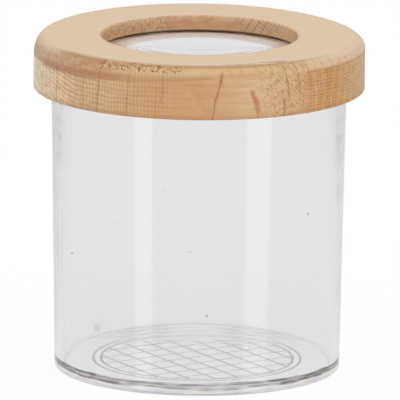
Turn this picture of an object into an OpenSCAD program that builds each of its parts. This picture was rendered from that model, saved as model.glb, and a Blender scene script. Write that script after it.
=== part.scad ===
// Bug catcher jar: a clear moulded cup with a measuring grid in its floor, closed by a turned wooden lid
// that holds a magnifying lens over its viewing hole. A moulded collar inside the lid traps the lens and
// plugs the cup's mouth. The origin is the centre of the foot, and +Z is up. All sizes are in millimetres.

/* [Cup] */
// Outer diameter of the cup at the foot
jar_base_d = 63.2; // [59:0.2:72]
// How far the wall leans out from foot to mouth, so that the cup leaves its mould
jar_lean = 1.1; // [0.4:0.1:3]
// Height of the cup from foot to rim
jar_h = 68; // [40:0.1:120]
// Thickness of the cup's side wall
jar_wall = 1.7; // [1.2:0.1:2.6]
// Height of the inside floor above the table
floor_top = 2; // [1.6:0.1:4]
// Radius of the outer edge at the foot
foot_round = 0.7; // [0.4:0.1:1.3]
// Width of the ring that the cup stands on, with the slope up to the underside
foot_ring_w = 1.6; // [1:0.1:5]
// Height by which the underside is raised inside the foot ring
foot_recess_depth = 0.5; // [0.2:0.05:0.8]
// Radius of the inside corner between wall and floor
floor_fillet = 0.7; // [0.4:0.1:3]

/* [Measuring grid] */
// Side of one square of the grid
grid_pitch = 5; // [3:0.5:10]
// Diameter of the outer circle round the grid
grid_outer_d = 46.2; // [30:0.2:48]
// Distance from the outer circle to the inner one
grid_border = 1.7; // [1:0.1:4]
// Width of a line
grid_line_w = 0.5; // [0.2:0.05:0.6]
// Depth to which the lines are sunk into the underside
grid_depth = 0.15; // [0.1:0.05:0.4]
// Turn of the grid about the vertical axis, in degrees
grid_angle = 32; // [0:1:90]

/* [Wooden lid] */
// Height of the lid
lid_h = 11.7; // [9:0.1:16]
// Thickness of the wood round the cup's mouth
lid_wall = 3.4; // [2.6:0.1:8]
// Diameter of the viewing hole
view_d = 43.4; // [30:0.2:48]
// Thickness of the lip over the lens
lip_t = 3.4; // [2.6:0.1:6]
// Radius of the round along the top edge
lid_top_round = 2.4; // [0.6:0.1:3.2]
// Radius of the round along the bottom edge
lid_bottom_round = 0.3; // [0.2:0.1:1.5]
// Radius of the round at the top of the viewing hole
view_round = 0.4; // [0.2:0.1:1.2]

/* [Lens] */
// How far the curved part reaches past the viewing hole, all round
optic_margin = 1; // [0.6:0.1:2.5]
// Rise of the upper curved face
lens_top_sag = 2.3; // [0.8:0.1:2.8]
// Drop of the lower curved face
lens_bottom_sag = 3.4; // [1:0.1:5]
// Width of the flat flange round the curved part
lens_flange_w = 3.3; // [2.4:0.1:3.8]
// Thickness of the flange
lens_flange_t = 1.6; // [1.2:0.1:2.4]
// Width of the raised bead along the flange's edge
lens_bead_w = 1.5; // [0.8:0.1:1.8]
// Height of that bead, which keeps the curved face off the wood
lens_bead_h = 0.5; // [0.3:0.1:1.2]

/* [Collar] */
// Thickness of the collar's flange, between the lens and the cup's rim
collar_flange_t = 1.2; // [0.8:0.1:2.4]
// Length of the skirt that plugs the cup's mouth
collar_skirt_l = 4; // [2:0.1:6]
// Thickness of the skirt
collar_skirt_t = 1.5; // [1:0.1:2.2]
// Number of air slots in the skirt
vent_count = 6; // [3:1:12]
// Width of an air slot
vent_w = 3; // [1.5:0.1:5]
// Height of the air passage over the cup's rim
vent_rise = 0.5; // [0.3:0.05:0.6]
// Radius of the small grip ribs on the skirt
grip_rib_r = 0.6; // [0.4:0.05:0.9]

/* [Fits] */
// Gap between the cup and the wood, all round
mouth_clearance = 0.5; // [0.2:0.05:1]
// Gap between the lens's edge and the wood, all round
lens_clearance = 0.15; // [0.05:0.05:0.4]
// Gap between the collar's flange and the wood, all round
collar_clearance = 0.2; // [0.05:0.05:0.5]
// Gap between the skirt and the inside of the cup, all round
skirt_clearance = 0.3; // [0.15:0.05:0.6]
// Gap that a grip rib leaves to the inside of the cup
rib_clearance = 0.05; // [0.02:0.01:0.1]

/* [Hidden] */

// Cup
jar_base_r = jar_base_d / 2;
jar_mouth_r = jar_base_r + jar_lean;
draft_share = jar_lean / jar_h;
rim_round = jar_wall / 3;
foot_recess_r = jar_base_r - foot_round - foot_ring_w;
mouth_inner_r = jar_mouth_r - jar_wall;

// Measuring grid
grid_outer_r = grid_outer_d / 2;
grid_inner_r = grid_outer_r - grid_border;
grid_steps = ceil(grid_inner_r / grid_pitch);
// One set of lines passes through the centre and the other lies half a square to each side of it
grid_shift_shares = [0.5, 0];

// Lens
optic_r = view_d / 2 + optic_margin;
lens_r = optic_r + lens_flange_w;

// Heights, from the cup's rim upwards
lens_z = jar_h + collar_flange_t;
lens_flange_top = lens_z + lens_flange_t;
lip_z = lens_flange_top + lens_bead_h;
lid_top = lip_z + lip_t;
lid_z = lid_top - lid_h;

// Lid
view_r = view_d / 2;
lens_seat_r = lens_r + lens_clearance;
mouth_recess_r = jar_mouth_r + mouth_clearance;
lid_r = mouth_recess_r + lid_wall;

// Collar
collar_r = mouth_recess_r - collar_clearance;
collar_inner_r = optic_r + lens_flange_w / 5;
skirt_r = mouth_inner_r - skirt_clearance;
skirt_bottom = jar_h - collar_skirt_l;
skirt_lead_in = collar_skirt_t / 3;
grip_rib_l = collar_skirt_l / 2;
grip_rib_x = mouth_inner_r - draft_share * collar_skirt_l - rib_clearance - grip_rib_r;

// How far a cut runs past the face that it opens
overrun = 1;
$fn = 128;

// Points along an arc, for the round stretches of an outline
function arc(centre, r, from, to, steps = 8) =
    [for (i = [0:steps]) let (a = from + (to - from) * i / steps)
        [centre[0] + r * cos(a), centre[1] + r * sin(a)]];

// Outer radius of the cup at a height
function jar_r(z) = jar_base_r + draft_share * z;

// Half of the cup's section: foot ring, drafted wall, rounded rim, filleted floor
module jar_section() {
    rim_z = jar_h - rim_round;
    fillet_z = floor_top + floor_fillet;
    polygon(concat(
        [[0, foot_recess_depth], [foot_recess_r, foot_recess_depth]],
        [[foot_recess_r + foot_recess_depth, 0]],
        arc([jar_r(foot_round) - foot_round, foot_round], foot_round, -90, 0),
        arc([jar_r(rim_z) - rim_round, rim_z], rim_round, 0, 90),
        arc([jar_r(rim_z) - jar_wall + rim_round, rim_z], rim_round, 90, 180),
        arc([jar_r(fillet_z) - jar_wall - floor_fillet, fillet_z], floor_fillet, 0, -90),
        [[0, floor_top]]
    ));
}

// One line of the grid, at a distance from the centre
module grid_line(distance) {
    translate([-grid_inner_r, distance - grid_line_w / 2, 0])
        cube([2 * grid_inner_r, grid_line_w, grid_depth + overrun]);
}

// One circle of the grid, on a radius
module grid_circle(r) {
    difference() {
        cylinder(r = r + grid_line_w / 2, h = grid_depth + overrun);
        translate([0, 0, -overrun])
            cylinder(r = r - grid_line_w / 2, h = grid_depth + 3 * overrun);
    }
}

// The grooves of the measuring grid, standing on the face that they are cut from
module grid_grooves() {
    grid_circle(grid_outer_r);
    grid_circle(grid_inner_r);
    intersection() {
        cylinder(r = grid_inner_r, h = grid_depth + overrun);
        rotate([0, 0, grid_angle])
            for (family = [0, 1], i = [-grid_steps:grid_steps])
                rotate([0, 0, 90 * (1 - family)])
                    grid_line((i + grid_shift_shares[family]) * grid_pitch);
    }
}

// Clear cup, with the grid sunk into its underside
module jar_body() {
    color([0.86, 0.9, 0.93, 0.4])
        difference() {
            rotate_extrude() jar_section();
            translate([0, 0, foot_recess_depth - overrun]) grid_grooves();
        }
}

// Half of a disc's section with rounded top and bottom edges
module disc_section(r, h, top_round, bottom_round) {
    translate([0, bottom_round]) square([r, h - top_round - bottom_round]);
    square([r - bottom_round, h / 2]);
    translate([0, h / 2]) square([r - top_round, h / 2]);
    translate([r - top_round, h - top_round]) circle(r = top_round);
    translate([r - bottom_round, bottom_round]) circle(r = bottom_round);
}

// What the round at the top of the viewing hole takes away
module view_round_section() {
    difference() {
        translate([view_r - overrun, lid_top - view_round])
            square([overrun + view_round, view_round + overrun]);
        translate([view_r + view_round, lid_top - view_round]) circle(r = view_round);
    }
}

// Turned wooden ring: viewing hole, seat for the lens, recess for the collar and the cup's mouth
module lid_ring() {
    color("burlywood")
        rotate_extrude()
            difference() {
                translate([0, lid_z]) disc_section(lid_r, lid_h, lid_top_round, lid_bottom_round);
                translate([0, lid_z - overrun]) square([view_r, lid_h + 2 * overrun]);
                translate([0, lid_z - overrun]) square([lens_seat_r, lip_z - lid_z + overrun]);
                translate([0, lid_z - overrun]) square([mouth_recess_r, lens_z - lid_z + overrun]);
                view_round_section();
            }
}

// Cap of a ball, with its flat side down at the origin
module cap(r, rise) {
    ball_r = (r * r + rise * rise) / (2 * rise);
    intersection() {
        translate([0, 0, rise - ball_r]) sphere(r = ball_r);
        cylinder(r = r + overrun, h = rise + overrun);
    }
}

// Magnifying lens: two curved faces, a flat flange and a bead along its edge
module lens() {
    color([0.9, 0.94, 0.97, 0.5])
        union() {
            translate([0, 0, lens_z]) cylinder(r = lens_r, h = lens_flange_t);
            translate([0, 0, lens_flange_top]) cap(optic_r, lens_top_sag);
            translate([0, 0, lens_z]) mirror([0, 0, 1]) cap(optic_r, lens_bottom_sag);
            rotate_extrude()
                translate([lens_r - lens_bead_w, lens_flange_top - lens_flange_t / 2])
                    square([lens_bead_w, lens_flange_t / 2 + lens_bead_h]);
        }
}

// Half of the collar's section: flange under the lens and skirt with a lead-in
module collar_section() {
    translate([collar_inner_r, jar_h]) square([collar_r - collar_inner_r, collar_flange_t]);
    polygon([
        [skirt_r - collar_skirt_t, jar_h + collar_flange_t / 2],
        [skirt_r - collar_skirt_t, skirt_bottom],
        [skirt_r - skirt_lead_in, skirt_bottom],
        [skirt_r, skirt_bottom + skirt_lead_in],
        [skirt_r, jar_h + collar_flange_t / 2]
    ]);
}

// Collar that holds the lens up and plugs the cup's mouth, with slots that let air in
module lens_collar() {
    step = 360 / vent_count;
    color("antiquewhite")
        difference() {
            union() {
                rotate_extrude() collar_section();
                for (i = [0:vent_count - 1])
                    rotate([0, 0, (i + 0.5) * step])
                        translate([grip_rib_x, 0, jar_h - grip_rib_l])
                            cylinder(r = grip_rib_r, h = grip_rib_l + collar_flange_t / 2);
            }
            for (i = [0:vent_count - 1])
                rotate([0, 0, i * step])
                    translate([skirt_r - collar_skirt_t - overrun, -vent_w / 2, skirt_bottom - overrun])
                        cube([collar_r - skirt_r + collar_skirt_t + 2 * overrun, vent_w,
                              collar_skirt_l + vent_rise + overrun]);
        }
}

jar_body();
lid_ring();
lens();
lens_collar();
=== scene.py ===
# %% [markdown]
# # A bug catcher jar: clear cup, turned wooden lid, magnifying lens
# A small find goes into the clear cup, the wooden lid closes it, and one looks at it through the lens. The
# measured model of the jar is loaded first and stays as it is. Each step then makes one piece or one
# finish of the real thing, in metres, exactly where the measured model has it.

# %% Load the measured model
import math
import bpy
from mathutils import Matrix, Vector


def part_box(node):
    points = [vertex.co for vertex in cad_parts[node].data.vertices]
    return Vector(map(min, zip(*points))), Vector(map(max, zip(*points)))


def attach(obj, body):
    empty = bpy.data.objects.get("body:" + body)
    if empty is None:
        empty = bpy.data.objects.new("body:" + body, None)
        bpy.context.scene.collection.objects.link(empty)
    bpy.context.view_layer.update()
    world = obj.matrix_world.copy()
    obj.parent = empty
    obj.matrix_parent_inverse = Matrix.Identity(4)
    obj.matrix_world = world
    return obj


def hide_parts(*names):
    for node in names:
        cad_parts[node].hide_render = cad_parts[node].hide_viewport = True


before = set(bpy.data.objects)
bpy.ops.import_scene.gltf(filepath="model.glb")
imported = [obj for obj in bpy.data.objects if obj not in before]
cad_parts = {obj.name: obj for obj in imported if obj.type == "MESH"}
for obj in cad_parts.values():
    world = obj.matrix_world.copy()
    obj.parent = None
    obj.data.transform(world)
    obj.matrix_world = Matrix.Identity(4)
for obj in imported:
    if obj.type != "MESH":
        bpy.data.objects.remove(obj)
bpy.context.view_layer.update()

MM = 0.001

# %% [markdown]
# ## Turning a shape on the lathe
# The cup, the lid and the lens are all turned or moulded round one axis. By hand one would add a circle,
# then again and again extrude its edge, lift it and scale it, until the outline of the section has been
# walked. These helpers do just that, so each round piece is a short list of stations (radius, height) in
# millimetres.

# %% Stations along a round
def arc(centre_r, centre_z, radius, start, end, steps=8):
    """Stations along an arc of the section, angles in degrees."""
    turns = [math.radians(start + (end - start) * i / steps) for i in range(steps + 1)]
    return [(centre_r + radius * math.cos(t), centre_z + radius * math.sin(t)) for t in turns]


print("a quarter round is walked in", len(arc(0, 0, 1, 0, 90)), "stations")

# %% Start and walk
SIDES = 256


def start_ring(name, station, filled):
    """A circle at the first station of an outline, in edit mode, with its edge selected."""
    bpy.ops.object.select_all(action="DESELECT")
    bpy.ops.mesh.primitive_circle_add(vertices=SIDES, radius=station[0] * MM,
                                      fill_type="NGON" if filled else "NOTHING",
                                      location=(0, 0, station[1] * MM))
    piece = bpy.context.object
    piece.name = piece.data.name = name
    bpy.ops.object.mode_set(mode="EDIT")
    bpy.ops.mesh.select_mode(type="EDGE")
    bpy.ops.mesh.select_all(action="SELECT")
    return piece


def walk(stations):
    """Extrudes, lifts and scales the selected edge from station to station."""
    for (r0, z0), (r1, z1) in zip(stations, stations[1:]):
        bpy.ops.mesh.extrude_edges_move(TRANSFORM_OT_translate={"value": (0, 0, (z1 - z0) * MM)})
        bpy.ops.transform.resize(value=(r1 / r0, r1 / r0, 1), center_override=(0, 0, z1 * MM))


# %% Close and finish
def finish_round(piece, sharp_angle):
    """Turns the faces outwards, puts the place into the mesh and shades the piece smooth."""
    bpy.ops.mesh.select_all(action="SELECT")
    bpy.ops.mesh.normals_make_consistent(inside=False)
    bpy.ops.object.mode_set(mode="OBJECT")
    bpy.ops.object.transform_apply(location=True, rotation=True, scale=True)
    bpy.ops.object.shade_smooth_by_angle(angle=math.radians(sharp_angle))
    print(piece.name, len(piece.data.polygons), "faces")


def turned_solid(name, stations, sharp_angle=30):
    """A solid whose outline starts and ends near the axis: both ends are closed with a flat face."""
    piece = start_ring(name, stations[0], filled=True)
    walk(stations)
    bpy.ops.mesh.edge_face_add()
    finish_round(piece, sharp_angle)
    return piece


def turned_ring(name, stations, sharp_angle=30):
    """A ring whose outline closes on itself: its last edge is bridged to its first."""
    piece = start_ring(name, stations[0], filled=False)
    walk(stations)
    bpy.ops.mesh.select_all(action="DESELECT")
    bpy.ops.mesh.select_non_manifold(extend=False)
    bpy.ops.mesh.bridge_edge_loops()
    finish_round(piece, sharp_angle)
    return piece


# %% [markdown]
# ## The cup
# The cup is moulded in one shot of clear plastic. Its wall leans out a little so that it leaves the mould,
# the foot has a rounded edge and stands on a flat ring, and the floor meets the wall in a small fillet. A
# cylinder with Solidify would give one wall thickness everywhere and no fillet; walking the section gives
# each its own.

# %% Sizes of the cup
cup_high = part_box("jar_body")[1]
cup_height = cup_high[2] / MM
cup_mouth_r = cup_high[0] / MM
cup_lean = 1.1
cup_foot_r = cup_mouth_r - cup_lean
cup_wall = 1.7
floor_top = 2.0
floor_fillet = 0.7
foot_round = 0.7
foot_ring_w = 1.6
foot_recess = 0.5
# Clear pieces stay this far from their neighbours, as a film of air does between real ones.
air_film = 0.02
print("cup, mm across:", round(2 * cup_foot_r, 1), "at the foot,",
      round(2 * cup_mouth_r, 1), "at the mouth")

# %% Cup
def cup_outer(z):
    """Outer radius of the cup at a height."""
    return cup_foot_r + cup_lean * z / cup_height


recess_r = cup_foot_r - foot_round - foot_ring_w
rim_round = cup_wall / 3
rim_z = cup_height - air_film - rim_round
fillet_z = floor_top + floor_fillet
cup_outline = (
    [(recess_r, foot_recess), (recess_r + foot_recess, 0)]
    + arc(cup_outer(foot_round) - foot_round, foot_round, foot_round, -90, 0)
    + arc(cup_outer(rim_z) - rim_round, rim_z, rim_round, 0, 90)
    + arc(cup_outer(rim_z) - cup_wall + rim_round, rim_z, rim_round, 90, 180)
    + arc(cup_outer(fillet_z) - cup_wall - floor_fillet, fillet_z, floor_fillet, 0, -90)
)
cup = turned_solid("cup", cup_outline)
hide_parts("jar_body")
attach(cup, "jar")

# %% [markdown]
# ## The measuring grid
# Thin grooves are moulded into the underside of the floor, two circles and two crossing sets of lines 5 mm
# apart. A groove scatters light, so it reads as a grey line. Cutting real grooves would only give clear
# notches, so each one is a thin matte strip instead. It lies a hair under the clear floor, in the recess
# of the foot, where light meets it once and no two faces lie in each other.

# %% Sizes of the grid
grid_pitch = 5
grid_inner_r, grid_outer_r = 21.4, 23.1
grid_line_w, fine_line_w = 0.5, 0.36
grid_turn = math.radians(32)
strip_low, strip_high = foot_recess - 0.04, foot_recess - 0.02
# The second set lies a little higher than the first, so that crossing strips share no face.
second_set_lift = 0.004
print("grid: squares of", grid_pitch, "mm in a circle", 2 * grid_inner_r, "mm across")

# %% One line and one circle
def grid_strip(distance, turn, lift, width):
    """One straight line of the grid: a thin bar as long as the chord of the inner circle."""
    half = math.sqrt(grid_inner_r ** 2 - distance ** 2)
    middle = Vector((0, distance * MM, (strip_low + strip_high) / 2 * MM + lift * MM))
    bpy.ops.object.select_all(action="DESELECT")
    bpy.ops.mesh.primitive_cube_add(size=1, location=middle)
    bpy.ops.transform.resize(value=(2 * half * MM, width * MM, (strip_high - strip_low) * MM),
                             center_override=middle)
    bpy.ops.transform.rotate(value=-turn, orient_axis="Z", center_override=(0, 0, 0))
    bar = bpy.context.object
    bpy.ops.object.transform_apply(location=True, rotation=True, scale=True)
    return bar


def grid_circle(name, radius):
    """One circle of the grid: a flat ring as wide as a line."""
    half = grid_line_w / 2
    corners = [(radius - half, strip_low), (radius + half, strip_low),
               (radius + half, strip_high), (radius - half, strip_high)]
    return turned_ring(name, corners)


# %% Lay out the grid and join it
bars = [grid_circle("grid_lines", grid_inner_r), grid_circle("outer_circle", grid_outer_r)]
steps = math.ceil(grid_inner_r / grid_pitch)
for i in range(-steps, steps + 1):
    for turn, shift, lift, width in ((grid_turn + math.pi / 2, 0.5, 0, grid_line_w),
                                     (grid_turn, 0, second_set_lift, fine_line_w)):
        distance = (i + shift) * grid_pitch
        if abs(distance) < grid_inner_r:
            bars.append(grid_strip(distance, turn, lift, width))
bpy.ops.object.select_all(action="DESELECT")
for bar in bars:
    bar.select_set(True)
bpy.context.view_layer.objects.active = bars[0]
bpy.ops.object.join()
grid_lines = bars[0]
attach(grid_lines, "jar")
print("grid of", len(bars) - 2, "lines and 2 circles")

# %% [markdown]
# ## The wooden lid
# The lid is turned from one block: viewing hole, a lip over the lens, the lens's seat and the recess for
# the cup's mouth. It is one closed ring, so its outline is walked once round and bridged. The top round
# gets 12 steps, because the next step reshapes it.

# %% Sizes of the lid and of the lens in it
ring_low, ring_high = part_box("lid_ring")
lens_low, lens_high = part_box("lens")
lid_r = ring_high[0] / MM
lid_bottom = ring_low[2] / MM
lid_top = ring_high[2] / MM
view_r = 21.7
lip_bottom = lid_top - 3.4
recess_mouth_r = cup_mouth_r + 0.5
lens_r = lens_high[0] / MM
seat_r = lens_r + 0.15
collar_flange = 1.2
lens_seat = cup_height + collar_flange
print("lid, mm:", round(2 * lid_r, 1), "across,", round(lid_top - lid_bottom, 1), "high")

# %% Wooden ring
top_round = 2.4
bottom_round = 0.3
hole_round = 0.35
broken_edge = 0.2
face_in, face_out = view_r + hole_round, lid_r - top_round
side_top, side_bottom = lid_top - top_round, lid_bottom + bottom_round
ring_outline = (
    [(recess_mouth_r, lid_bottom + broken_edge), (recess_mouth_r, lens_seat), (seat_r, lens_seat),
     (seat_r, lip_bottom), (view_r + broken_edge, lip_bottom), (view_r, lip_bottom + broken_edge)]
    + arc(face_in, lid_top - hole_round, hole_round, 180, 90, 9)
    + [(face_in + (face_out - face_in) * i / 6, lid_top) for i in range(1, 6)]
    + arc(face_out, side_top, top_round, 90, 0, 12)
    + [(lid_r, side_bottom + (side_top - side_bottom) * i / 6) for i in range(5, 0, -1)]
    + arc(lid_r - bottom_round, side_bottom, bottom_round, 0, -90, 8)
    + [(recess_mouth_r + broken_edge, lid_bottom)]
)
wooden_ring = turned_ring("wooden_ring", ring_outline, sharp_angle=12)

# %% [markdown]
# ## The hand-sanded edge
# The top edge was rounded by hand on a sander. The round is deeper on the left, wider on the right behind,
# narrow at the back, and it ends in a crisp line at the front only. A Bevel is even all the way round, so
# the points of the round are moved in code, each by what the sanding took off at its azimuth. How deep the
# round goes is kept on each point, because the wood's finish differs on the round.

# %% How the sanding varies
round_drop, deep_drop = 2.4, 4.0
round_width, wide_round, back_round = 2.4, 3.6, 1.1
deep_side, wide_side = math.radians(-85), math.radians(122)
front_arc, end_arc = math.radians(68), math.radians(86)


def drop_at(azimuth):
    """Depth of the top round at an azimuth from the front: deeper on the left than elsewhere."""
    share = max(0, math.cos(azimuth - deep_side)) ** 1.2
    return round_drop + (deep_drop - round_drop) * min(1, 1.25 * share)


def width_at(azimuth):
    """Width of the top round at an azimuth from the front: narrow at the back, wide on the right behind."""
    wide = (wide_round - round_width) * max(0, math.cos(azimuth - wide_side)) ** 4
    narrow = (round_width - back_round) * max(0, -math.cos(azimuth)) ** 2
    return round_width + wide - narrow


def arc_at(azimuth):
    """How much of a quarter circle the round fills: less at the front, where it ends in a crisp line."""
    return end_arc + (front_arc - end_arc) * max(0, math.cos(azimuth)) ** 1.5


for side, degrees in (("front", 0), ("right", 90), ("back", 180), ("left", -90)):
    print("round at the", side, "mm:", round(drop_at(math.radians(degrees)), 1), "deep,",
          round(width_at(math.radians(degrees)), 1), "wide")

# %% Sand the top edge
round_depths = wooden_ring.data.attributes.new("round_drop", "FLOAT", "POINT")
sanded_points = 0
for vertex in wooden_ring.data.vertices:
    x, y, z = (c / MM for c in vertex.co)
    r = math.hypot(x, y)
    azimuth = math.atan2(x, -y)
    drop, width, sanded_arc = drop_at(azimuth), width_at(azimuth), arc_at(azimuth)
    round_depths.data[vertex.index].value = drop
    out, up = (r - lid_r) / top_round + 1, (z - lid_top) / top_round + 1
    if out > -0.001 and up > -0.001:
        turn = math.atan2(max(0, out), max(0, up)) / (math.pi / 2) * sanded_arc
        new_r = lid_r - width * (1 - math.sin(turn) / math.sin(sanded_arc))
        new_z = lid_top - drop * (1 - (math.cos(turn) - math.cos(sanded_arc)) / (1 - math.cos(sanded_arc)))
        vertex.co = (x / r * new_r * MM, y / r * new_r * MM, new_z * MM)
        sanded_points += 1
wooden_ring.data.update()
bpy.ops.object.select_all(action="DESELECT")
wooden_ring.select_set(True)
bpy.context.view_layer.objects.active = wooden_ring
bpy.ops.object.shade_smooth_by_angle(angle=math.radians(12))
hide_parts("lid_ring")
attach(wooden_ring, "lid")
print("sanded points:", sanded_points)

# %% [markdown]
# ## The lens
# A strong magnifier needs two curved faces. A scaled sphere would have poles and no flange, so the outline
# walks from the middle of the lower face outwards, round the flange and its bead, and back over the upper
# face. The bead keeps the flange off the wooden lip and leaves the thin dark gap that shows round the
# lens.

# %% Lens
optic_r = 22.7
lens_flange = 1.6
lens_bead_w, lens_bead_h = 1.5, 0.5


def dome(radius, rise, base_z, up, steps=20):
    """Stations over a shallow ball cap, from a small flat circle in its middle to its edge."""
    ball = (radius ** 2 + rise ** 2) / (2 * rise)
    first = radius / 60
    radii = [first + (radius - first) * i / steps for i in range(steps + 1)]
    return [(r, base_z + up * (math.sqrt(ball ** 2 - r ** 2) - ball + rise)) for r in radii]


flange_top = lens_seat + lens_flange
bead_top = flange_top + lens_bead_h - air_film
lens_outline = (
    dome(optic_r, lens_seat - lens_low[2] / MM, lens_seat, -1)
    + [(optic_r + air_film, lens_seat + air_film), (lens_r, lens_seat + air_film), (lens_r, bead_top)]
    + [(lens_r - lens_bead_w, bead_top), (lens_r - lens_bead_w, flange_top)]
    + dome(optic_r, lens_high[2] / MM - flange_top, flange_top, 1)[::-1]
)
magnifier = turned_solid("magnifier", lens_outline)
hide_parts("lens")
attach(magnifier, "lid")

# %% [markdown]
# ## Materials
# Colours are written as sRGB hex values and turned to linear light by one function. One helper adds a node
# with its settings and its links. Patterns read Object coordinates, here in millimetres, so that a size in
# the pattern is a size on the jar.

# %% Helpers for materials
def paint(hex_colour):
    """An sRGB hex colour as linear RGBA."""
    parts = [int(hex_colour[i:i + 2], 16) / 255 for i in (0, 2, 4)]
    return tuple(c / 12.92 if c < 0.04045 else ((c + 0.055) / 1.055) ** 2.4 for c in parts) + (1.0,)


def add(tree, kind, sockets=None, out=0, **settings):
    """Adds a shader node of a kind, sets it, fills or links its sockets. Returns an output or the node."""
    node = tree.nodes.new("ShaderNode" + kind)
    for name, value in settings.items():
        setattr(node, name, value)
    for key, value in (sockets or {}).items():
        if isinstance(value, bpy.types.NodeSocket):
            tree.links.new(value, node.inputs[key])
        else:
            node.inputs[key].default_value = value
    return node if out is None or not node.outputs else node.outputs[out]


def new_material(name):
    """An empty node material and its tree."""
    material = bpy.data.materials.new(name)
    material.use_nodes = True
    material.node_tree.nodes.clear()
    return material, material.node_tree


def coat(piece, material):
    """Gives a piece one material and no other."""
    piece.data.materials.clear()
    piece.data.materials.append(material)
    print(piece.name, "is", material.name, "with", len(material.node_tree.nodes), "nodes")


print("sRGB 808080 in linear light:", round(paint("808080")[0], 3))

# %% [markdown]
# ## Masks
# Rings, cracks, pores and moulding marks each lie at one place. A mask is a value that is 1 there and 0
# elsewhere. Painting such marks on an image would tie them to a resolution; masks built from places and
# noise stay sharp at any size. Two of them overlap where both are 1.

# %% Masks and places
def band(tree, value, low, high, soft):
    """1 where a value lies between low and high, fading over a soft margin outside them."""
    rise = add(tree, "MapRange", {"Value": value, 1: low - soft, 2: low},
               interpolation_type="SMOOTHSTEP")
    fall = add(tree, "MapRange", {"Value": value, 1: high + soft, 2: high},
               interpolation_type="SMOOTHSTEP")
    return add(tree, "Math", {0: rise, 1: fall}, operation="MULTIPLY")


def overlap(tree, *masks):
    """The part of the surface that lies under all the masks."""
    result = masks[0]
    for mask in masks[1:]:
        result = add(tree, "Math", {0: result, 1: mask}, operation="MULTIPLY")
    return result


def places_in_mm(tree):
    """Where a point is, in mm: its place, its X, Y and Z, its place seen from above and its radius."""
    place = add(tree, "TexCoord", out="Object")
    place = add(tree, "VectorMath", {0: place, 1: (1 / MM, 1 / MM, 1 / MM)}, operation="MULTIPLY")
    parts = add(tree, "SeparateXYZ", {0: place}, out=None)
    flat = add(tree, "VectorMath", {0: place, 1: (1, 1, 0)}, operation="MULTIPLY")
    radius = add(tree, "VectorMath", {0: flat}, out="Value", operation="LENGTH")
    return {"place": place, "x": parts.outputs["X"], "y": parts.outputs["Y"], "z": parts.outputs["Z"],
            "flat": flat, "radius": radius}


# %% [markdown]
# ## Clear moulded plastic
# Cup and lens are injection moulded in polished moulds. Polystyrene bends light by 1.59, acrylic by 1.49,
# and both mirror it where a face turns away. Slow waves from the mould break up the mirror images a
# little, and where light runs a long way inside the plastic it greys, so edges read as dark lines. All of
# this comes from the shader and the lamps. The base colour carries what lies on or in the plastic, and
# painted light as well: painted light and shade on the cup's foot, a painted reflection on the lens's rim.

# %% Clear plastic
def clear_plastic(name, tint, ior, density, wave_mm):
    """Polished clear plastic: tint and painted light from a function, waves of a length in mm, and a grey
    haze.
    """
    material, tree = new_material(name)
    place = add(tree, "TexCoord", out="Object")
    flow = add(tree, "Mapping", {
        "Vector": place, "Scale": (1 / (wave_mm * MM), 1 / (wave_mm * MM), 12)})
    ripple = add(tree, "TexNoise", {"Vector": flow, "Scale": 1.0, "Detail": 2.0})
    bump = add(tree, "Bump", {"Height": ripple, "Strength": 0.012, "Distance": 0.5 * MM})
    body = add(tree, "BsdfPrincipled", {
        "Base Color": tint(tree), "Roughness": 0.03, "IOR": ior,
        "Transmission Weight": 1.0, "Normal": bump})
    haze = add(tree, "VolumeAbsorption", {"Color": paint("B9BDBE"), "Density": density})
    add(tree, "OutputMaterial", {"Surface": body, "Volume": haze})
    return material


# %% [markdown]
# ## Marks of the cup, and painted light and shade on its foot
# The foot's edge gathers light from all round and breaks it into faint bands of grey and weak colour. The
# size of such an edge is well under a millimetre, too fine for a small render to resolve from the shape
# alone, so the bands are also painted on it: painted shade in greys and painted light in weak colours.
# The wall has a few specks and one smudge, as used cups do, and a fine upright grey line on the left.

# %% Bands in the foot's edge
# Lowest and highest mm, soft margin, colour, share where the edge faces the eye, share where it turns away.
# The first band has no colour of its own: it is painted light in a play of weak colours. The others are
# painted shade in greys.
FOOT_LIGHT_AND_SHADE_BANDS = [
    (0.5, 2.4, 0.25, None, 0.45, 0.45),
    (1.7, 2.7, 0.2, "706866", 0.25, 1.6),
    (1.55, 1.9, 0.3, "463E3E", 0.65, 1.6),
    (2.4, 2.75, 0.3, "4A4444", 0.7, 1.6),
    (0.3, 0.9, 0.2, "B4ACA4", 0.45, 0.45),
    (-1.0, 0.1, 0.15, "605C58", 0.7, 0.7),
]


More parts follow.
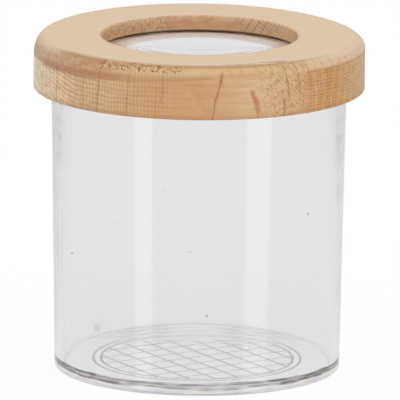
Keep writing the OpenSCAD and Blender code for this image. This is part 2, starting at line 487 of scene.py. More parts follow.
def painted_foot_light_and_shade(tree, places):
    """Painted light and shade on the foot's outer face: bands that waver in height, broken up along the
    edge.
    """
    outer = add(tree, "MapRange", {
        "Value": places["radius"], 1: cup_foot_r - 0.8, 2: cup_foot_r - 0.6})
    leaving = add(tree, "NewGeometry", out="Backfacing")
    outer = add(tree, "Math", {0: outer, 1: leaving}, operation="SUBTRACT", use_clamp=True)
    # Patches are 5 mm long and 0.9 mm high.
    patch = add(tree, "VectorMath", {0: places["place"], 1: (1 / 5, 1 / 5, 1 / 0.9)},
                operation="MULTIPLY")
    play = add(tree, "TexNoise", {"Vector": patch, "Scale": 1.0, "Detail": 1.0}, out="Color")
    play = add(tree, "HueSaturation", {"Color": play, "Saturation": 1.3, "Value": 1.5})
    wave = add(tree, "TexNoise", {"Vector": patch, "Scale": 0.6, "Detail": 0.0})
    wave = add(tree, "MapRange", {"Value": wave, 1: 0.2, 2: 0.8, 3: -0.25, 4: 0.25})
    height = add(tree, "Math", {0: places["z"], 1: wave}, operation="ADD")
    broken = add(tree, "TexNoise", {"Vector": patch, "Scale": 1.4, "Detail": 0.0})
    broken = add(tree, "MapRange", {"Value": broken, 1: 0.35, 2: 0.6, 3: 0.5, 4: 1.0})
    turning = add(tree, "LayerWeight", {"Blend": 0.7}, out="Facing")
    tone = paint("FFFFFF")
    # Painted light and shade: each band is mixed into the clear tint of the foot's outer face.
    for low, high, soft, colour, front, ends in FOOT_LIGHT_AND_SHADE_BANDS:
        share = add(tree, "MapRange", {"Value": turning, 3: front, 4: ends})
        share = overlap(tree, outer, share, broken, band(tree, height, low, high, soft))
        colour = play if colour is None else paint(colour)
        tone = add(tree, "Mix", {0: share, 6: tone, 7: colour}, out=2, data_type="RGBA")
    return tone


print("foot's edge:", len(FOOT_LIGHT_AND_SHADE_BANDS), "bands up to", max(high for _, high, *_ in FOOT_LIGHT_AND_SHADE_BANDS), "mm")

# %% Specks, smudge and an upright grey line
# Place in mm, radius in mm, colour. The last and largest is the smudge.
SPECKS = [
    ((-27.7, -16.1, 28.6), 0.4, "3C3C34"),
    ((-18.4, -26.4, 37.7), 0.2, "8C8C84"),
    ((-1.7, -32.1, 32.6), 0.2, "7C7C78"),
    ((24.2, -21.3, 39.0), 0.42, "7C7C78"),
    ((2.1, -31.8, 18.2), 0.32, "5C5C58"),
    ((-7.7, -31.4, 46.3), 0.18, "8C8C88"),
    ((-22.0, -22.9, 13.3), 1.7, "DADCD8"),
]


def cup_tint_and_painted_light(tree):
    """Clear, with painted light and shade on the foot, the specks and an upright grey line on the left."""
    places = places_in_mm(tree)
    tone = painted_foot_light_and_shade(tree, places)
    for spot, size, colour in SPECKS:
        away = add(tree, "VectorMath", {0: places["place"], 1: spot}, out="Value",
                   operation="DISTANCE")
        near = add(tree, "MapRange", {"Value": away, 1: size, 2: size / 3},
                   interpolation_type="SMOOTHSTEP")
        tone = add(tree, "Mix", {0: near, 6: tone, 7: paint(colour)}, out=2, data_type="RGBA")
    # A fine upright grey line on the left of the wall, 16 to 33 mm high.
    away = add(tree, "VectorMath", {0: places["flat"], 1: (-30.9, -8.8, 0)}, out="Value",
               operation="DISTANCE")
    grey_line = overlap(tree, band(tree, away, -1, 0.1, 0.25), band(tree, places["z"], 16, 33, 8))
    return add(tree, "Mix", {0: grey_line, 6: tone, 7: paint("B4B4AC")}, out=2, data_type="RGBA")


# Moulded polystyrene: hard and very clear, with crisp mirror images that waver every 6 mm or so.
coat(cup, clear_plastic("moulded_clear_polystyrene", cup_tint_and_painted_light, 1.59, 0.2, 6))

# %% [markdown]
# ## The lens's finish and its painted reflection
# The lens is clear in the middle. Seen at a low angle its rim picks up the warm tone of the wooden seat
# round it. Tracing that light through the flange would need thousands of samples, so that tone is a
# painted reflection: the rim gets it by its radius and by how far it turns away.

# %% Acrylic lens
def lens_tint_and_painted_reflection(tree):
    """Clear in the middle; at the rim, seen at a low angle, a warm painted reflection of the wooden seat."""
    places = places_in_mm(tree)
    rim = add(tree, "MapRange", {"Value": places["radius"], 1: 15, 2: 20},
              interpolation_type="SMOOTHSTEP")
    turning = add(tree, "LayerWeight", {"Blend": 0.5}, out="Facing")
    glancing = add(tree, "MapRange", {"Value": turning, 1: 0.4, 2: 0.75},
                   interpolation_type="SMOOTHSTEP")
    # Painted reflection: at the glancing rim the tone D4A26C stands for the wooden seat seen in the flange.
    return add(tree, "Mix", {
        0: overlap(tree, rim, glancing), 6: paint("FCFCFF"), 7: paint("D4A26C")}, out=2, data_type="RGBA")


# Moulded acrylic: as clear as glass and a little bluish beside the warm wood, with slower waves.
coat(magnifier, clear_plastic("moulded_clear_acrylic", lens_tint_and_painted_reflection, 1.49, 1.0, 20))

# %% [markdown]
# ## Matte grooves
# The grooves of the grid are left rough by the spark erosion of the mould, so they scatter light instead
# of passing it on and read as grey lines. A rough, grey plastic with a faint grit does that.

# %% Grooves
def matte_groove():
    """Spark-eroded polystyrene. Its real grit is about 0.02 mm; it is drawn at 0.7 mm, so that it shows."""
    material, tree = new_material("eroded_matte_groove")
    place = add(tree, "TexCoord", out="Object")
    grit = add(tree, "TexNoise", {"Vector": place, "Scale": 1500.0, "Detail": 3.0})
    grey = add(tree, "Mix", {0: grit, 6: paint("55575C"), 7: paint("6E7176")},
               out=2, data_type="RGBA")
    body = add(tree, "BsdfPrincipled", {"Base Color": grey, "Roughness": 0.8})
    add(tree, "OutputMaterial", {"Surface": body})
    return material


coat(grid_lines, matte_groove())

# %% [markdown]
# ## Beech: where on the ring
# The ring is turned across the grain, which runs along X, so its face changes all the way round: end grain
# with growth rings and rays on the left and right, long grain with fine streaks at the front and back. One
# wood pattern for the whole ring would miss that. What follows the tree is read from the place in
# millimetres; what lies at one spot uses the azimuth in degrees, counted from the front towards the right,
# and the height.

# %% Places on the ring
# Heights of the marks are counted from here, near the lid's lower edge.
mark_base = 63.2
degree_mm = math.radians(1) * lid_r


def turned_from(tree, places, side):
    """Azimuth in degrees towards +X, from the front (side -1) or from the back (side 1)."""
    along = add(tree, "Math", {0: places["y"], 1: side}, operation="MULTIPLY")
    turn = add(tree, "Math", {0: places["x"], 1: along}, operation="ARCTAN2")
    return add(tree, "Math", {0: turn}, operation="DEGREES")


def ring_places(tree):
    """Places in mm with azimuths, height over mark_base, and depth in the sanded round, which is 0 to 1."""
    places = places_in_mm(tree)
    height = add(tree, "Math", {0: places["z"], 1: mark_base}, operation="SUBTRACT")
    below_top = add(tree, "Math", {0: lid_top, 1: places["z"]}, operation="SUBTRACT")
    drop = add(tree, "Attribute", out="Fac", attribute_name="round_drop")
    depth = add(tree, "Math", {0: below_top, 1: drop}, operation="DIVIDE")
    return {**places, "height": height, "depth": depth,
            "azimuth": turned_from(tree, places, -1), "back": turned_from(tree, places, 1)}


print("one degree of the ring's side is", round(degree_mm, 2), "mm long")

# %% [markdown]
# ## Beech: streaks and spots
# Pores, flecks and changes of tone have no fixed place. They are spots of noise, stretched to the size
# they have on the wood. Beech pores are about 0.1 mm wide, too fine for the render, so they are drawn at
# 0.5 mm and more.

# %% Slow changes, spots and streaks
def wander(tree, places, reach, size):
    """A slow wandering value between minus and plus reach, with bends about size mm long."""
    noise = add(tree, "TexNoise", {"Vector": places["place"], "Scale": 1 / size, "Detail": 2.0})
    return add(tree, "MapRange", {"Value": noise, 1: 0.2, 2: 0.8, 3: -reach, 4: reach})


def spots(tree, places, size, low, high):
    """Soft spots of a size in mm along X, Y and Z, where a noise passes from low to high."""
    stretched = add(tree, "VectorMath", {0: places["place"], 1: [1 / s for s in size]},
                    operation="MULTIPLY")
    noise = add(tree, "TexNoise", {
        "Vector": stretched, "Scale": 1.0, "Detail": 2.0, "Roughness": 0.6})
    return add(tree, "MapRange", {"Value": noise, 1: low, 2: high},
               interpolation_type="SMOOTHSTEP")


def leaning_spots(tree, places, tilt, length, width, low, high):
    """Short streaks on the unrolled side that lean by a tilt in degrees, with length and width in mm."""
    along = add(tree, "Math", {0: places["azimuth"], 1: degree_mm}, operation="MULTIPLY")
    unrolled = add(tree, "CombineXYZ", {"X": along, "Y": places["height"]}, out="Vector")
    leaning = add(tree, "Mapping", {"Vector": unrolled, "Rotation": (0, 0, math.radians(tilt))})
    return spots(tree, {"place": leaning}, (length, width, 1), low, high)


# %% [markdown]
# ## Beech: growth rings, rays and cracks
# A growth ring is a thin dark line once a year, where the late wood lies. Cut by the round side of the
# lid, the rings lie flat at the front and climb like a bowl towards the back. Rays stand upright between
# them. A Wave texture could draw the rings, but not this bowl, so the level in the wood is worked out and
# divided into years.

# %% Growth rings, rays and single lines
def yearly(tree, level, spacing, start, end, soft):
    """Dark late wood once per spacing of a level, with start, end and soft margin as shares of a year."""
    year = add(tree, "Math", {0: level, 1: spacing}, operation="DIVIDE")
    season = add(tree, "Math", {0: year}, operation="FRACT")
    return band(tree, season, start, end, soft)


def growth_rings(tree, places, rise_from, rise, spacing, reach, share):
    """Rings that lie flat up to rise_from along Y and climb behind it, by rise mm over the bowl's length."""
    bowl_length = 22.3
    climb = add(tree, "MapRange", {"Value": places["y"], 1: rise_from, 2: rise_from + bowl_length},
                clamp=False)
    climb = add(tree, "Math", {0: climb, 1: 0.0}, operation="MAXIMUM")
    climb = add(tree, "Math", {0: climb, 1: 2.0}, operation="POWER")
    climb = add(tree, "Math", {0: climb, 1: rise}, operation="MULTIPLY")
    level = add(tree, "Math", {0: places["height"], 1: climb}, operation="SUBTRACT")
    level = add(tree, "Math", {0: level, 1: wander(tree, places, reach, 7)}, operation="ADD")
    return yearly(tree, level, spacing, 0.65 - share / 2, 0.65 + share / 2, 0.2)


def rays(tree, places, spacing, width):
    """Fine upright lines, spacing and width in degrees, with no two gaps alike."""
    turn = add(tree, "Math", {0: places["azimuth"], 1: wander(tree, places, spacing / 2, 6)},
               operation="ADD")
    share = width / spacing
    return yearly(tree, turn, spacing, 0.5 - share / 2, 0.5 + share / 2, share)


def upright_line(tree, places, top_turn, foot_turn, width, low, high):
    """One line down the side between two heights, from an azimuth at the top to another at the foot."""
    course = add(tree, "MapRange", {
        "Value": places["height"], 1: 0.0, 2: 11.0, 3: foot_turn, 4: top_turn}, clamp=False)
    off = add(tree, "Math", {0: places["azimuth"], 1: course}, operation="SUBTRACT")
    off = add(tree, "Math", {0: off, 1: wander(tree, places, 0.3, 1.5)}, operation="ADD")
    line = band(tree, off, -width / 5, width / 5, width / 2)
    return overlap(tree, line, band(tree, places["height"], low, high, 0.8))


def edge_crack(tree, places, start, end, start_r, end_r, width):
    """A crack along the edge of the top face, from one azimuth and radius to another."""
    course = add(tree, "MapRange", {
        "Value": places["azimuth"], 1: start, 2: end, 3: start_r, 4: end_r})
    off = add(tree, "Math", {0: places["radius"], 1: course}, operation="SUBTRACT")
    off = add(tree, "Math", {0: off, 1: wander(tree, places, 0.5, 1.5)}, operation="ADD")
    line = band(tree, off, -width / 2, width / 2, width / 2)
    ends = band(tree, places["azimuth"], start, end, 1.5)
    return overlap(tree, line, ends, band(tree, places["depth"], -1, 0.3, 0.2))


print("rays 1.3 degrees apart are", round(1.3 * degree_mm, 2), "mm apart on the side")

# %% [markdown]
# ## Beech: its ground colour
# Under all marks the wood's tone changes slowly round the ring: pale towards -80 and 80 degrees, warmer
# between and behind. A ramp round the ring, with a few chosen tones, carries that slow change. Its pale
# tones near -80 and 80 degrees, on the side and on the round, are partly painted sheen: whitish and less
# warm, for the sheen of light grazing the ring where it turns away from the front.

# %% Ground colour round the ring
# Painted sheen: the pale tones at -80 and 80 stand partly for grazing light, partly for the wood's tone.
SIDE_TONES_AND_PAINTED_SHEEN = [(-180, "C99C6A"), (-80, "EAD8C1"), (-50, "EBC99C"), (-15, "D1A270"), (0, "C89868"),
              (22, "DAB68D"), (52, "CC9452"), (80, "D0B494"), (180, "C99C6A")]
ROUND_TONES_AND_PAINTED_SHEEN = [(-180, "D2AE80"), (-80, "C9B197"), (-42, "D1A474"), (-5, "CAA47A"), (15, "C69C68"),
               (40, "DBB68C"), (80, "D4BEAC"), (180, "D2AE80")]


def turn_ramp(tree, places, tones):
    """A colour that changes slowly round the ring, from pairs of azimuth and colour."""
    share = add(tree, "MapRange", {"Value": places["azimuth"], 1: -180.0, 2: 180.0})
    ramp = add(tree, "ValToRGB", {0: share}, out=None)
    stops = ramp.color_ramp.elements
    for i, (turn, colour) in enumerate(tones):
        at = (turn + 180) / 360
        stop = stops[0] if i == 0 else stops[len(stops) - 1] if i == len(tones) - 1 else stops.new(at)
        stop.position = at
        stop.color = paint(colour)
    return ramp.outputs["Color"]


print("ground tones:", len(SIDE_TONES_AND_PAINTED_SHEEN), "on the side,", len(ROUND_TONES_AND_PAINTED_SHEEN), "on the round")

# %% [markdown]
# ## Beech: marks of the side
# Each mark is a layer: where it lies, its colour and its strength. Layers are laid over one another like
# thin glazes, so the list reads as the wood does, from broad changes to single cracks and the small knot.

# %% Single lines down the side
# Azimuth at the top and at the foot, width in degrees, lowest and highest mm, colour, strength. The three
# between 16 and 21 degrees form the reddish knot.
SIDE_LINES = [
    (-58.5, -58.8, 0.8, -1, 8.0, "A17648", 0.55),
    (-43.8, -44.2, 0.7, -1, 7.0, "A77C4C", 0.5),
    (-36.5, -37.8, 0.8, -1, 10.6, "8F6030", 0.5),
    (-24.9, -25.8, 0.7, -1, 11.0, "9B6C3C", 0.45),
    (-12.4, -13.2, 0.6, 4.0, 10.5, "A4733F", 0.55),
    (-14.6, -15.2, 0.5, -1, 6.0, "A97A49", 0.4),
    (8.6, 4.0, 0.75, 4.6, 10.2, "98623A", 0.65),
    (7.4, 4.6, 0.7, -1, 4.4, "98623A", 0.6),
    (7.9, 6.6, 1.4, 8.2, 10.0, "A26C3A", 0.55),
    (16.6, 21.0, 1.7, 3.6, 5.8, "AE6A42", 0.7),
    (18.2, 21.0, 2.0, 1.6, 4.4, "AE6A42", 0.6),
    (19.9, 20.7, 1.0, -1, 2.0, "B87A4C", 0.6),
    (30.5, 30.8, 0.9, -1, 3.6, "965F32", 0.6),
    (31.0, 33.6, 0.7, 4.0, 10.8, "9C6E3E", 0.6),
    (35.6, 38.6, 0.7, 5.0, 10.8, "9C6E3E", 0.55),
    (40.2, 44.5, 0.7, 6.0, 10.8, "A0733F", 0.5),
]
print("single lines on the side:", len(SIDE_LINES))

# %% Layers of the side
def side_layers(tree, places, side):
    """Flecks, end and woven grain, speckles, single lines, creases, painted sheen, as (mask, colour,
    strength).
    """
    azimuth, height, depth = places["azimuth"], places["height"], places["depth"]
    left_end = overlap(tree, side, band(tree, azimuth, -118, -52, 18))
    weave = overlap(tree, side, band(tree, azimuth, -46, -16, 12))
    right_end = overlap(tree, side, band(tree, azimuth, 44, 122, 8))
    speckled = overlap(tree, side, band(tree, azimuth, 25, 38, 6))
    broken = spots(tree, places, (1.6, 1.6, 0.8), 0.3, 0.6)
    rings = growth_rings(tree, places, -31.7, 5.4, 1.02, 0.4, 0.2)
    fine_rings = growth_rings(tree, places, -31.7, 5.4, 1.02, 0.4, 0.08)
    right_rings = growth_rings(tree, places, 30, 2, 0.76, 0.16, 0.3)
    left_rays = overlap(tree, band(tree, azimuth, -78, -40, 10), rays(tree, places, 3.1, 0.3))
    crease = band(tree, depth, 0.88, 1.06, 0.1)
    wide_crease = band(tree, depth, 0.8, 1.06, 0.2)
    broad_and_sheen = [
        (overlap(tree, side, spots(tree, places, (2.2, 2.2, 1.6), 0.5, 0.7)), "D3A283", 0.45),
        (overlap(tree, side, spots(tree, places, (1.7, 1.7, 2.4), 0.5, 0.72)), "CEAA70", 0.4),
        (overlap(tree, side, band(tree, height, -1, 0.3, 0.9)), "B47C44", 0.4),
        # Painted sheen: a pale whitish glaze where light grazes the side's left end, -110 to -80 degrees.
        (overlap(tree, side, band(tree, azimuth, -110, -80, 16)), "F0E6D4", 0.3),
    ]
    grain = [
        (overlap(tree, left_end, fine_rings, broken), "8A6236", 0.45),
        (overlap(tree, weave, rings, broken), "A06F3F", 0.35),
        (overlap(tree, weave, rays(tree, places, 1.3, 0.35)), "A97A4A", 0.32),
        (overlap(tree, left_end, left_rays), "AB8052", 0.3),
        (overlap(tree, right_end, right_rings, broken), "9C6030", 0.48),
        (overlap(tree, right_end, rays(tree, places, 4.6, 0.6)), "DDB487", 0.3),
        (overlap(tree, right_end, rays(tree, places, 1.7, 0.4)), "A97240", 0.25),
        (overlap(tree, speckled, leaning_spots(tree, places, 60, 1.4, 0.3, 0.48, 0.62)), "9A6A3A", 0.7),
        (overlap(tree, speckled, leaning_spots(tree, places, 66, 1.6, 0.35, 0.55, 0.68)), "E6C698", 0.55),
    ]
    lines = [(upright_line(tree, places, *course), colour, strength)
             for *course, colour, strength in SIDE_LINES]
    creases = [
        (overlap(tree, band(tree, azimuth, -66, -30, 8), wide_crease), "A0603C", 0.5),
        (overlap(tree, band(tree, azimuth, 44, 74, 5), crease), "B07448", 0.3),
        (overlap(tree, band(tree, azimuth, -24, 3, 4), crease), "AE7E4C", 0.45),
    ]
    return broad_and_sheen + grain + lines + creases


# %% [markdown]
# ## Beech: marks of the sanded round
# Sanding across the end grain opens the pores, so the round is rough and dark on the left and hatched to
# the right of the front. Towards the back and the two ends its upper part takes on the pale tone of the
# top face, partly painted sheen as there. Noise in the bump alone would not do: an open pore is darker
# than the wood round it, so pores are painted.

# %% Layers of the round
def round_layers(tree, places, sanded):
    """Pores and shading of the sanded round, as (mask, colour, strength)."""
    azimuth, depth = places["azimuth"], places["depth"]
    left = overlap(tree, sanded, band(tree, azimuth, -150, -40, 12))
    right = overlap(tree, sanded, band(tree, azimuth, 12, 150, 8))
    pored = overlap(tree, sanded, band(tree, azimuth, -36, -9, 6))
    hatched = overlap(tree, sanded, band(tree, azimuth, 24, 38, 6))
    front = overlap(tree, sanded, band(tree, azimuth, -28, 24, 8))
    far_right = overlap(tree, sanded, band(tree, azimuth, 62, 180, 30))
    far_left = overlap(tree, sanded, band(tree, azimuth, -180, -70, 20))
    upper_pores = overlap(tree, pored, band(tree, depth, 0.08, 0.42, 0.14))
    return [
        (overlap(tree, sanded, band(tree, depth, -1, 0.06, 0.2)), "A87C4E", 0.4),
        (overlap(tree, front, band(tree, depth, 0.3, 0.55, 0.2)), "EBCB9F", 0.3),
        (overlap(tree, left, spots(tree, places, (1.1, 1.1, 0.5), 0.5, 0.68)), "94602F", 0.5),
        (overlap(tree, left, spots(tree, places, (3.5, 3.5, 1.2), 0.5, 0.7)), "B97450", 0.45),
        (overlap(tree, left, rays(tree, places, 1.3, 0.4)), "A0734A", 0.3),
        (overlap(tree, right, spots(tree, places, (1.6, 1.6, 0.8), 0.5, 0.7)), "C79A64", 0.5),
        (overlap(tree, right, rays(tree, places, 4.6, 0.6)), "B88956", 0.25),
        (overlap(tree, pored, rays(tree, places, 1.3, 0.4)), "B28654", 0.35),
        (overlap(tree, upper_pores, leaning_spots(tree, places, 20, 1.0, 0.45, 0.5, 0.6)), "7A4C20", 0.8),
        (overlap(tree, hatched, leaning_spots(tree, places, 62, 1.5, 0.35, 0.5, 0.64)), "9A6E40", 0.55),
        # Painted sheen: the top face's pale tone over the upper round at the back and both ends.
        (overlap(tree, far_right, band(tree, depth, -1, 0.02, 0.5)), "E6CCAC", 0.85),
        (overlap(tree, far_left, band(tree, depth, -1, 0.02, 0.4)), "E6CCAC", 0.85),
        (overlap(tree, upper_pores, leaning_spots(tree, places, 150, 0.7, 0.36, 0.56, 0.66)), "F0D2A6", 0.7),
    ]


# %% [markdown]
# ## Beech: the top face and the hole
# The top face is planed smooth and shows only faint mottling, with two short cracks at its edge. Its pale
# ground is partly painted sheen, for the whitish sheen of light grazing the flat face. The wall of the
# viewing hole cuts the same block from inside: pored end grain on its left, slanting rings on its right.
# At the wall's lower edge, beside the dark gap round the lens, a dark brown band is painted shade.

# %% Layers of the top face
def top_layers(tree, places, top):
    """Top face: ground partly painted sheen, mottling, grain, edge cracks, as (mask, colour, strength)."""
    worn = overlap(tree, top, band(tree, places["azimuth"], -50, 12, 12))
    return [
        # Painted sheen: the ground E6CCAC is paler than the side's wood, for light grazing the flat face.
        (top, "E6CCAC", 1.0),
        (overlap(tree, top, spots(tree, places, (7, 2.5, 7), 0.5, 0.75)), "E6C2A2", 0.5),
        (overlap(tree, top, spots(tree, places, (5, 4, 5), 0.5, 0.75)), "DCCCA4", 0.45),
        (overlap(tree, worn, band(tree, places["radius"], 33.8, 34.3, 0.3)), "B08A5E", 0.5),
        (overlap(tree, top, spots(tree, places, (9, 0.45, 9), 0.5, 0.75)), "D6BA94", 0.35),
        (edge_crack(tree, places, 10, 21, 33.7, 33.6, 0.45), "8A6C40", 0.6),
        (edge_crack(tree, places, 24.5, 33, 32.7, 34.0, 0.55), "74381C", 0.85),
    ]


# %% Layers of the hole
def hole_layers(tree, places, hole):
    """Hole's wall from inside: end grain, slanted rings, painted shade below, as (mask, colour, strength).
    """
    back, height = places["back"], places["height"]
    lip = lip_bottom - mark_base
    left = overlap(tree, hole, band(tree, back, -120, -24, 10))
    middle = overlap(tree, hole, band(tree, back, -20, 22, 6))
    between = overlap(tree, hole, band(tree, back, 26, 44, 3))
    right = overlap(tree, hole, band(tree, back, 40, 104, 8))
    along = add(tree, "Math", {0: back, 1: math.radians(1) * view_r * 0.55}, operation="MULTIPLY")
    slanting = add(tree, "Math", {0: along, 1: height}, operation="ADD")
    slanting = add(tree, "Math", {0: slanting, 1: wander(tree, places, 0.5, 3)}, operation="ADD")
    steep = add(tree, "Math", {0: along, 1: 2.6}, operation="MULTIPLY")
    crossing = add(tree, "Math", {0: steep, 1: height}, operation="SUBTRACT")
    return [
        (hole, "DCAB7E", 1.0),
        (overlap(tree, hole, band(tree, back, 40, 150, 12)), "EDC79C", 0.7),
        (overlap(tree, hole, band(tree, height, lip + 2.9, lip + 4, 1.0)), "E6C197", 0.75),
        (overlap(tree, hole, spots(tree, places, (2.5, 2.5, 1.5), 0.5, 0.7)), "CC9670", 0.5),
        (overlap(tree, middle, spots(tree, places, (4, 4, 2), 0.4, 0.65)), "CE9069", 0.6),
        (overlap(tree, left, spots(tree, places, (0.6, 0.6, 0.5), 0.5, 0.62)), "8A5628", 0.55),
        (overlap(tree, left, spots(tree, places, (0.6, 0.6, 0.6), 0.54, 0.66)), "F0CE9E", 0.6),
        (overlap(tree, right, yearly(tree, slanting, 1.0, 0.55, 0.65, 0.14)), "94653A", 0.55),
        (overlap(tree, between, yearly(tree, crossing, 3.0, 0.05, 0.12, 0.06)), "8A5428", 0.6),
        # Painted shade: dark brown along the wall's lower edge, beside the dark gap round the lens.
        (overlap(tree, hole, band(tree, height, lip - 1, lip + 0.2, 0.3)), "8E5A30", 0.5),
        (overlap(tree, hole, band(tree, height, lip + 0.4, lip + 0.5, 0.2)), "EAC8A2", 0.3),
    ]


# %% [markdown]
# ## Beech: all layers together
# Masks for the side, the round, the top face and the hole come from radius and depth. The ground colour
# gets fine streaks along the grain, then every layer in turn. The wood is sanded and left without varnish,
# so it is dull, and its fibres stand up by a few hundredths of a millimetre.

# %% Turned beech
def turned_beech():
    """Unvarnished beech, turned and sanded: dull, pale, with streaks 22 mm long and 0.55 mm high."""
    material, tree = new_material("turned_sanded_beech")
    places = ring_places(tree)
    radius, height, depth = places["radius"], places["height"], places["depth"]
    outside = band(tree, radius, 32, 50, 1)
    side = overlap(tree, outside, band(tree, depth, 1.0, 50, 0.02))
    sanded = overlap(tree, outside, band(tree, depth, 0.0, 0.97, 0.02))
    top = overlap(tree, band(tree, depth, -1, 0.0, 0.03), band(tree, radius, 22.3, 50, 0.4))
    lip = lip_bottom - mark_base
    hole = overlap(tree, band(tree, radius, 0, 21.9, 0.3), band(tree, height, lip, 50, 0.1))

    streaks = spots(tree, places, (22, 3, 0.55), 0.42, 0.68)
    streak_share = add(tree, "Math", {0: streaks, 1: 0.3}, operation="MULTIPLY")
    side_tone_and_sheen, round_tone_and_sheen = turn_ramp(tree, places, SIDE_TONES_AND_PAINTED_SHEEN), turn_ramp(tree, places, ROUND_TONES_AND_PAINTED_SHEEN)
    tone = add(tree, "Mix", {0: streak_share, 6: side_tone_and_sheen, 7: paint("A97844")}, out=2, data_type="RGBA")
    tone = add(tree, "Mix", {0: sanded, 6: tone, 7: round_tone_and_sheen}, out=2, data_type="RGBA")
    layers = [side_layers(tree, places, side), round_layers(tree, places, sanded),
              top_layers(tree, places, top), hole_layers(tree, places, hole)]
    print("beech layers on side, round, top and hole:", [len(some) for some in layers])
    for mask, colour, strength in sum(layers, []):
        share = add(tree, "Math", {0: mask, 1: strength}, operation="MULTIPLY")
        tone = add(tree, "Mix", {0: share, 6: tone, 7: paint(colour)}, out=2, data_type="RGBA")

    fuzz = spots(tree, places, (1.2, 0.4, 0.3), 0.3, 0.7)
    relief = add(tree, "Math", {0: fuzz, 1: streaks}, operation="ADD")
    bump = add(tree, "Bump", {"Height": relief, "Strength": 0.5, "Distance": 0.03 * MM})
    body = add(tree, "BsdfPrincipled", {"Base Color": tone, "Roughness": 0.55, "Normal": bump})
    add(tree, "OutputMaterial", {"Surface": body})
    return material


coat(wooden_ring, turned_beech())

# %% [markdown]
# ## The collar
# The collar under the lens is moulded from undyed plastic, which is a warm white. Its shape in the
# measured model is right, so only its finish is made here: satin, with the fine grain of an unpolished
# mould.

# %% Natural plastic
def natural_plastic():
    """Moulded, undyed polypropylene. Its mould's grain is about 0.1 mm; it is drawn at 1.1 mm to show."""
    material, tree = new_material("moulded_natural_polypropylene")
    place = add(tree, "TexCoord", out="Object")
    grain = add(tree, "TexNoise", {"Vector": place, "Scale": 900.0, "Detail": 2.0})
    bump = add(tree, "Bump", {"Height": grain, "Strength": 0.1, "Distance": 0.2 * MM})
    body = add(tree, "BsdfPrincipled", {
        "Base Color": paint("E8DCC4"), "Roughness": 0.4, "Normal": bump})
    add(tree, "OutputMaterial", {"Surface": body})
    return material


coat(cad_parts["lens_collar"], natural_plastic())

# %% [markdown]
# ## The table
# The jar stands on a plain pale table. What the camera, a mirror image or clear plastic sees of it is
# nearly white, by Light Path, while the light that it throws on the jar stays at a plain level. Its white
# glow carries a painted contact shadow: darker in a ring under the foot. Mirror images of it are
# half glossy, so the soft boxes show in them once more, and from below it is see-through, so the jar's
# underside can be seen.

# %% Table
floor_drop = 0.02 * MM
# Light under the jar, and the edges in mm of the shade that the foot ring throws.
contact_light = 0.75
shade_in, shade_out = (29.4, 30.2), (30.8, 31.2)


def pale_table():
    """Matte white card for the lamps; for rays that show the background, a white glow with a painted shadow.
    """
    material, tree = new_material("pale_table")
    path = add(tree, "LightPath", out=None).outputs
    seen = add(tree, "Math", {0: path["Is Camera Ray"], 1: path["Is Glossy Ray"]}, operation="MAXIMUM")
    seen = add(tree, "Math", {0: seen, 1: path["Is Transmission Ray"]}, operation="MAXIMUM")
    bounce = add(tree, "Mix", {0: seen, 6: paint("E6E6E6"), 7: paint("585858")},
                 out=2, data_type="RGBA")
    card = add(tree, "BsdfDiffuse", {"Color": bounce})
    glow = add(tree, "MapRange", {"Value": path["Is Camera Ray"], 3: 0.69, 4: 0.92})
    spot = add(tree, "TexCoord", out="Object")
    far = add(tree, "VectorMath", {0: spot}, out="Value", operation="LENGTH")
    inner = add(tree, "MapRange", {
        "Value": far, 1: shade_in[0] * MM, 2: shade_in[1] * MM, 3: 1.0, 4: contact_light})
    outer = add(tree, "MapRange", {
        "Value": far, 1: shade_out[0] * MM, 2: shade_out[1] * MM, 3: 0.0, 4: 1.0})
    open_table = add(tree, "Math", {0: inner, 1: outer}, operation="MAXIMUM")
    # Painted shadow: the glow is dimmed in a ring under the foot, where the jar's contact shadow falls.
    glow = add(tree, "Math", {0: glow, 1: open_table}, operation="MULTIPLY")
    glow = add(tree, "Math", {0: seen, 1: glow}, operation="MULTIPLY")
    white = add(tree, "Emission", {"Color": paint("FFFFFF"), "Strength": glow})
    matte = add(tree, "AddShader", {0: card, 1: white})
    gloss = add(tree, "BsdfGlossy", {"Color": paint("FFFFFF"), "Roughness": 0.2})
    mirrored = add(tree, "Math", {0: path["Is Glossy Ray"], 1: path["Is Transmission Ray"]},
                   operation="SUBTRACT", use_clamp=True)
    mirrored = add(tree, "Math", {0: mirrored, 1: 0.5}, operation="MULTIPLY")
    table = add(tree, "MixShader", {0: mirrored, 1: matte, 2: gloss})
    under = add(tree, "NewGeometry", out="Backfacing")
    nothing = add(tree, "BsdfTransparent")
    table = add(tree, "MixShader", {0: under, 1: table, 2: nothing})
    add(tree, "OutputMaterial", {"Surface": table})
    return material


bpy.ops.object.select_all(action="DESELECT")
bpy.ops.mesh.primitive_plane_add(size=6, location=(0, 0, -floor_drop))
floor = bpy.context.object
floor.name = "floor"
coat(floor, pale_table())

# %% [markdown]
# ## The light
# A plain white sky lights the jar evenly; the camera sees it as full white. Two tall soft boxes stand
# beside the camera and give the upright bright strips on the cup. Seen through the clear plastic they would
# put streaks into the cup's limbs, which a large studio doesn't show, so only mirror images and the pieces
# themselves see them.

# %% Sky
sky_light, sky_seen = 0.8, 1.0
world = bpy.data.worlds.new("studio")
bpy.context.scene.world = world
world.use_nodes = True
world.node_tree.nodes.clear()
path = add(world.node_tree, "LightPath", out=None).outputs
sky = add(world.node_tree, "MapRange", {"Value": path["Is Camera Ray"], 3: sky_light, 4: sky_seen})
sky = add(world.node_tree, "Background", {"Color": paint("FFFFFF"), "Strength": sky})
add(world.node_tree, "OutputWorld", {"Surface": sky})
print("sky: strength", sky_light, "as light,", sky_seen, "as background")

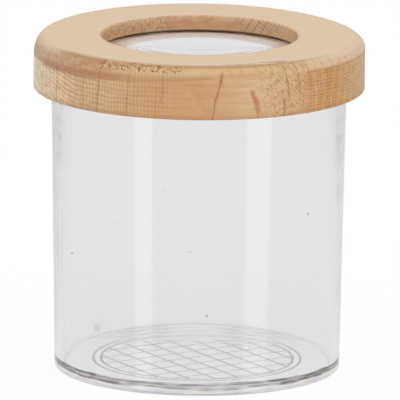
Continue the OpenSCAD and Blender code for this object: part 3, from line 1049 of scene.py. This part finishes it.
# %% Soft boxes
box_distance, box_height = 0.9, 0.9
box_radiance = 2.5


def soft_box(name, azimuth, width):
    """A tall soft box beside the camera, standing on the table and facing the jar; width in metres."""
    data = bpy.data.lights.new(name, "AREA")
    data.shape = "RECTANGLE"
    data.size, data.size_y = width, box_height
    data.energy = box_radiance * math.pi * width * box_height
    lamp = bpy.data.objects.new(name, data)
    turn = math.radians(azimuth)
    lamp.location = (box_distance * math.sin(turn), -box_distance * math.cos(turn), box_height / 2)
    lamp.rotation_euler = (math.pi / 2, 0, turn)
    lamp.visible_camera = False
    lamp.visible_transmission = False
    bpy.context.collection.objects.link(lamp)
    print(name, "at", azimuth, "degrees:", round(data.energy, 2), "W")


soft_box("left_box", -43.2, 0.226)
soft_box("right_box", 47.6, 0.32)

# %% [markdown]
# ## The camera
# The picture is a distant, slightly raised view. Distance, height and aim were worked out from the circles
# of lid, foot and grid, as a long lens on a tripod would see them. A ray that enters the foot is mirrored
# dozens of times before it leaves, so the bounce counts are high; with the usual 12 the foot turns dark.

# %% Camera
view_rise = 0.2120
view_distance = 2.928
view_target = Vector((0.00040, 0, 0.03737))
view_roll = 0.0084
# Focal length in pixels of a frame that is 400 pixels wide.
lens_px, frame_px = 13219, 400
back = Vector((0, -math.cos(view_rise), math.sin(view_rise)))
data = bpy.data.cameras.new("camera")
data.sensor_width = 36
data.lens = data.sensor_width * lens_px / frame_px
data.clip_start, data.clip_end = 0.1, 30
camera = bpy.data.objects.new("camera", data)
camera.location = view_target + view_distance * back
camera.rotation_mode = "QUATERNION"
camera.rotation_quaternion = back.to_track_quat("Z", "Y")
camera.rotation_mode = "XYZ"
camera.rotation_euler.rotate_axis("Z", view_roll)
bpy.context.collection.objects.link(camera)
bpy.context.scene.camera = camera
bpy.context.scene.view_settings.view_transform = "Standard"
paths = bpy.context.scene.cycles
paths.max_bounces, paths.transmission_bounces, paths.glossy_bounces = 128, 128, 128
print("camera:", round(math.degrees(view_rise), 1), "degrees up, lens", round(data.lens), "mm")
